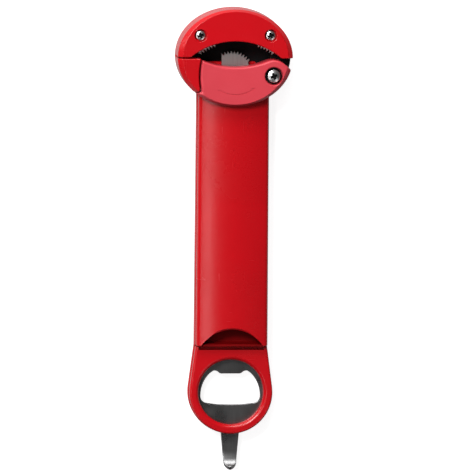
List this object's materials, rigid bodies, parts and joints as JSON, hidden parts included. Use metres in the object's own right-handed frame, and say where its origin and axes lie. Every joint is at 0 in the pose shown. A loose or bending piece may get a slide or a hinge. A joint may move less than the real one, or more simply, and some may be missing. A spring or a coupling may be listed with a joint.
{
  "type": "can and bottle opener",
  "caption": "Long hand-held opener: sprung toothed jaws for screw caps, a crown-cap opener ring and a curled tongue for ring-pull cans.",
  "frame": {"origin": "middle of the opener's length and width, on the flat back that it lies on", "axes": "+Y along the handle towards the head, +Z out of the working side, +X to the right seen from the working side with the head up"},
  "size_m": [0.0598, 0.2406, 0.022],
  "materials": {
    "red_plastic": "satin",
    "black_nylon": "matte",
    "satin_steel": "satin",
    "bright_steel": "polished",
    "spring_steel": "satin"
  },
  "bodies": {
    "handle": {"back_shell": "red_plastic", "handle_cover": "red_plastic", "ring_cover": "red_plastic", "lower_jaw_base": "red_plastic", "lower_jaw_cover": "red_plastic", "slide_plate": "black_nylon", "opener_plate": "satin_steel", "tooth_sector": "satin_steel", "pivot_barrel": "bright_steel", "pivot_screw": "bright_steel", "pivot_washer": "black_nylon", "jaw_spring": "spring_steel", "jaw_cover_screw": "bright_steel", "sector_screw_left": "bright_steel", "sector_screw_right": "bright_steel", "neck_screw_left": "bright_steel", "neck_screw_right": "bright_steel", "handle_screw_high": "bright_steel", "handle_screw_low": "bright_steel"},
    "jaw": {"jaw_frame": "black_nylon", "upper_jaw_cover": "red_plastic", "jaw_heel": "red_plastic", "tooth_plate": "satin_steel", "heel_screw": "bright_steel", "upper_screw_left": "bright_steel", "upper_screw_right": "bright_steel"}
  },
  "joints": [
    {"name": "jaw_swing", "type": "hinge", "parent": "handle", "child": "jaw", "pos_m": [0.02, 0.08575, 0.006], "axis": [0, 0, -1], "range_deg": [0, 40], "stiffness_Nm_per_rad": 0.03, "springref_deg": -85.94, "deforming": ["jaw_spring"]}
  ]
}
